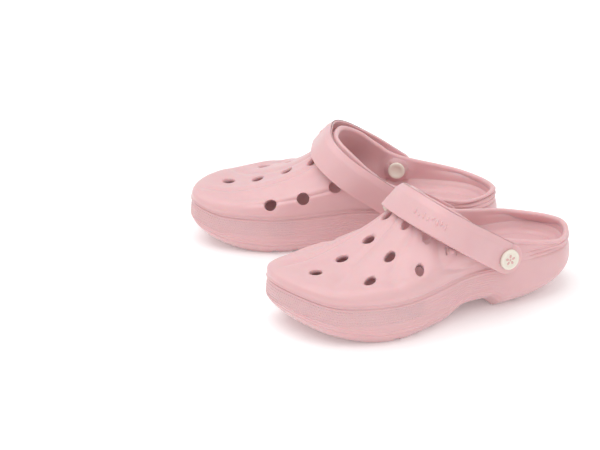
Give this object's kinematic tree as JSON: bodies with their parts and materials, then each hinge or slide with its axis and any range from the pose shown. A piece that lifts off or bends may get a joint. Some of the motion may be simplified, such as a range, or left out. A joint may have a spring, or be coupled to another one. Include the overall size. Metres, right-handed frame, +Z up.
{
  "type": "rubber garden clog",
  "caption": "Pair of moulded foam garden clogs with vented toes, heel cups and pivoting heel straps held by plastic snap rivets.",
  "frame": {"origin": "centre of the pair's bounding box, on the ground", "axes": "+X towards the toes of the left clog, +Y from the right clog to the left clog and out of the left clog's outer side, +Z up"},
  "size_m": [0.2604, 0.2984, 0.098],
  "materials": {
    "foam": "satin",
    "rivet_plastic": "satin"
  },
  "bodies": {
    "left_clog": {"left_shell": "foam", "left_outer_button": "rivet_plastic", "left_outer_cap": "rivet_plastic", "left_inner_button": "rivet_plastic", "left_inner_cap": "rivet_plastic"},
    "left_strap": {"left_strap": "foam"},
    "right_clog": {"right_shell": "foam", "right_outer_button": "rivet_plastic", "right_outer_cap": "rivet_plastic", "right_inner_button": "rivet_plastic", "right_inner_cap": "rivet_plastic"},
    "right_strap": {"right_strap": "foam"}
  },
  "joints": [
    {"name": "left_strap_swing", "type": "hinge", "parent": "left_clog", "child": "left_strap", "pos_m": [-0.0432, 0.09415, 0.047], "axis": [0, -1, 0], "range_deg": [0, 125]},
    {"name": "right_clog_lift", "type": "slide", "parent": "left_clog", "child": "right_clog", "axis": [0, 0, 1], "range_m": [0, 0.15]},
    {"name": "right_strap_swing", "type": "hinge", "parent": "right_clog", "child": "right_strap", "pos_m": [-0.0482, -0.03685, 0.047], "axis": [-0.5446, -0.8387, 0], "range_deg": [0, 125]}
  ]
}
